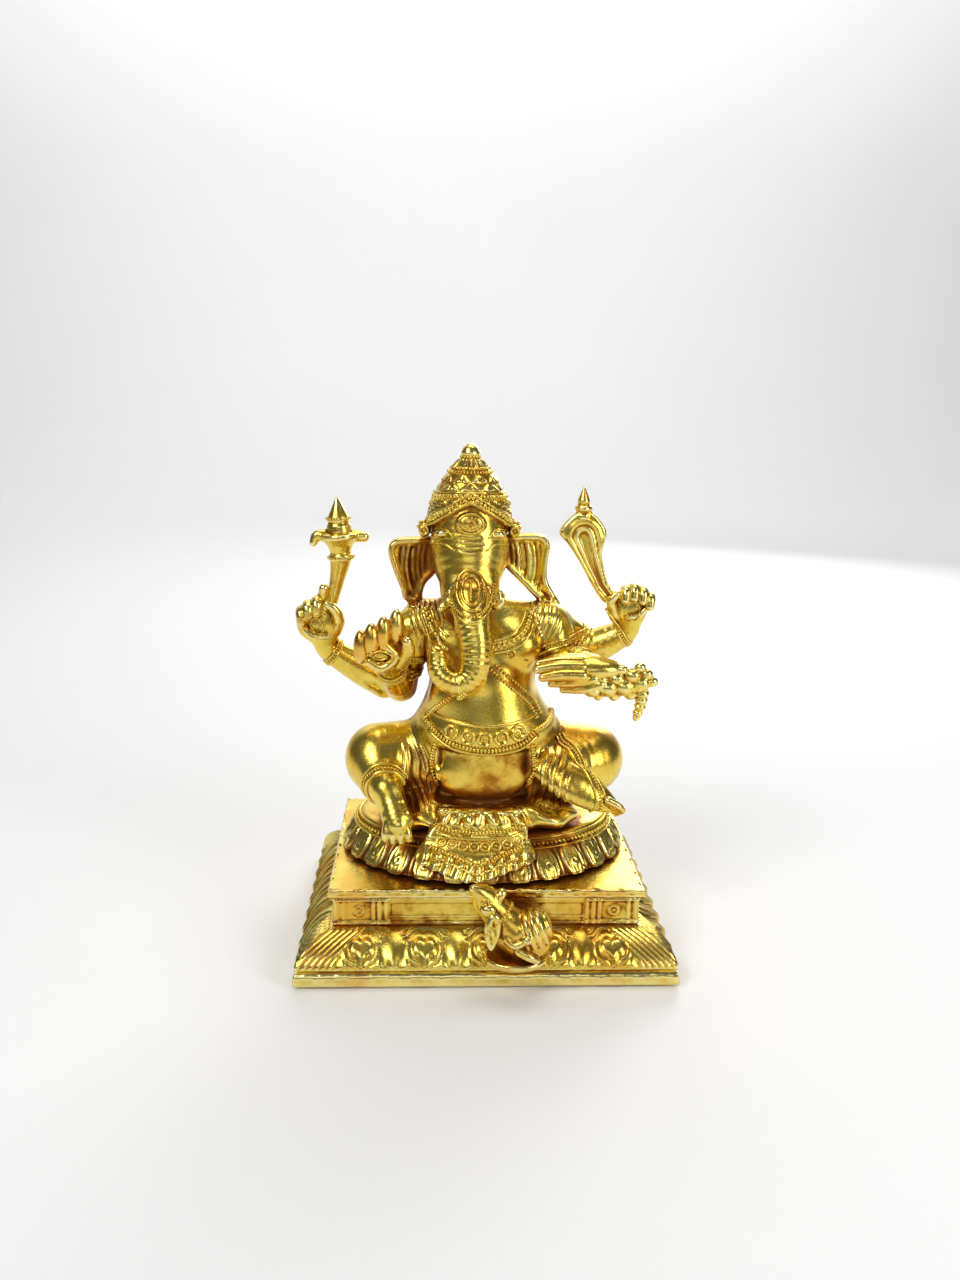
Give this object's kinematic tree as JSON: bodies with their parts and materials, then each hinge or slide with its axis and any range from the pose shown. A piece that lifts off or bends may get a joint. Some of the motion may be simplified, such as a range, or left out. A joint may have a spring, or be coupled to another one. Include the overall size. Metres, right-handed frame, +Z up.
{
  "type": "seated elephant-headed deity statue",
  "caption": "Gilt brass table idol of a seated, elephant-headed, many-armed deity on a lotus seat and a stepped moulded plinth, with a mouse at its foot.",
  "frame": {"origin": "centre of the overall box's underside, on the plane the plinth stands on", "axes": "+Z up, -Y towards the viewer (the way the deity faces), +X to the viewer's right (the deity's own left)"},
  "size_m": [0.1026, 0.0856, 0.1364],
  "materials": {
    "gold_plate": "bright gold plate over cast brass, satin on the high parts, with orange-brown tarnish in the recesses",
    "bare_brass": "plain turned brass, dull",
    "zinc_steel": "zinc plated steel nut and washer"
  },
  "bodies": {
    "root": {"base_tier": "gold_plate", "dado_box": "gold_plate", "top_plate": "gold_plate", "lotus_seat": "gold_plate", "seat_stud": "bare_brass", "seat_washer": "zinc_steel", "seat_nut": "zinc_steel", "torso": "gold_plate", "right_leg": "gold_plate", "left_leg": "gold_plate", "apron_panel": "gold_plate", "head": "gold_plate", "trunk": "gold_plate", "crown": "gold_plate", "right_front_arm": "gold_plate", "left_front_arm": "gold_plate", "right_rear_arm": "gold_plate", "left_rear_arm": "gold_plate", "right_ear": "gold_plate", "left_ear": "gold_plate", "goad": "gold_plate", "noose": "gold_plate", "sweet_strand": "gold_plate", "mouse_plate": "gold_plate", "mouse": "gold_plate"}
  },
  "joints": []
}
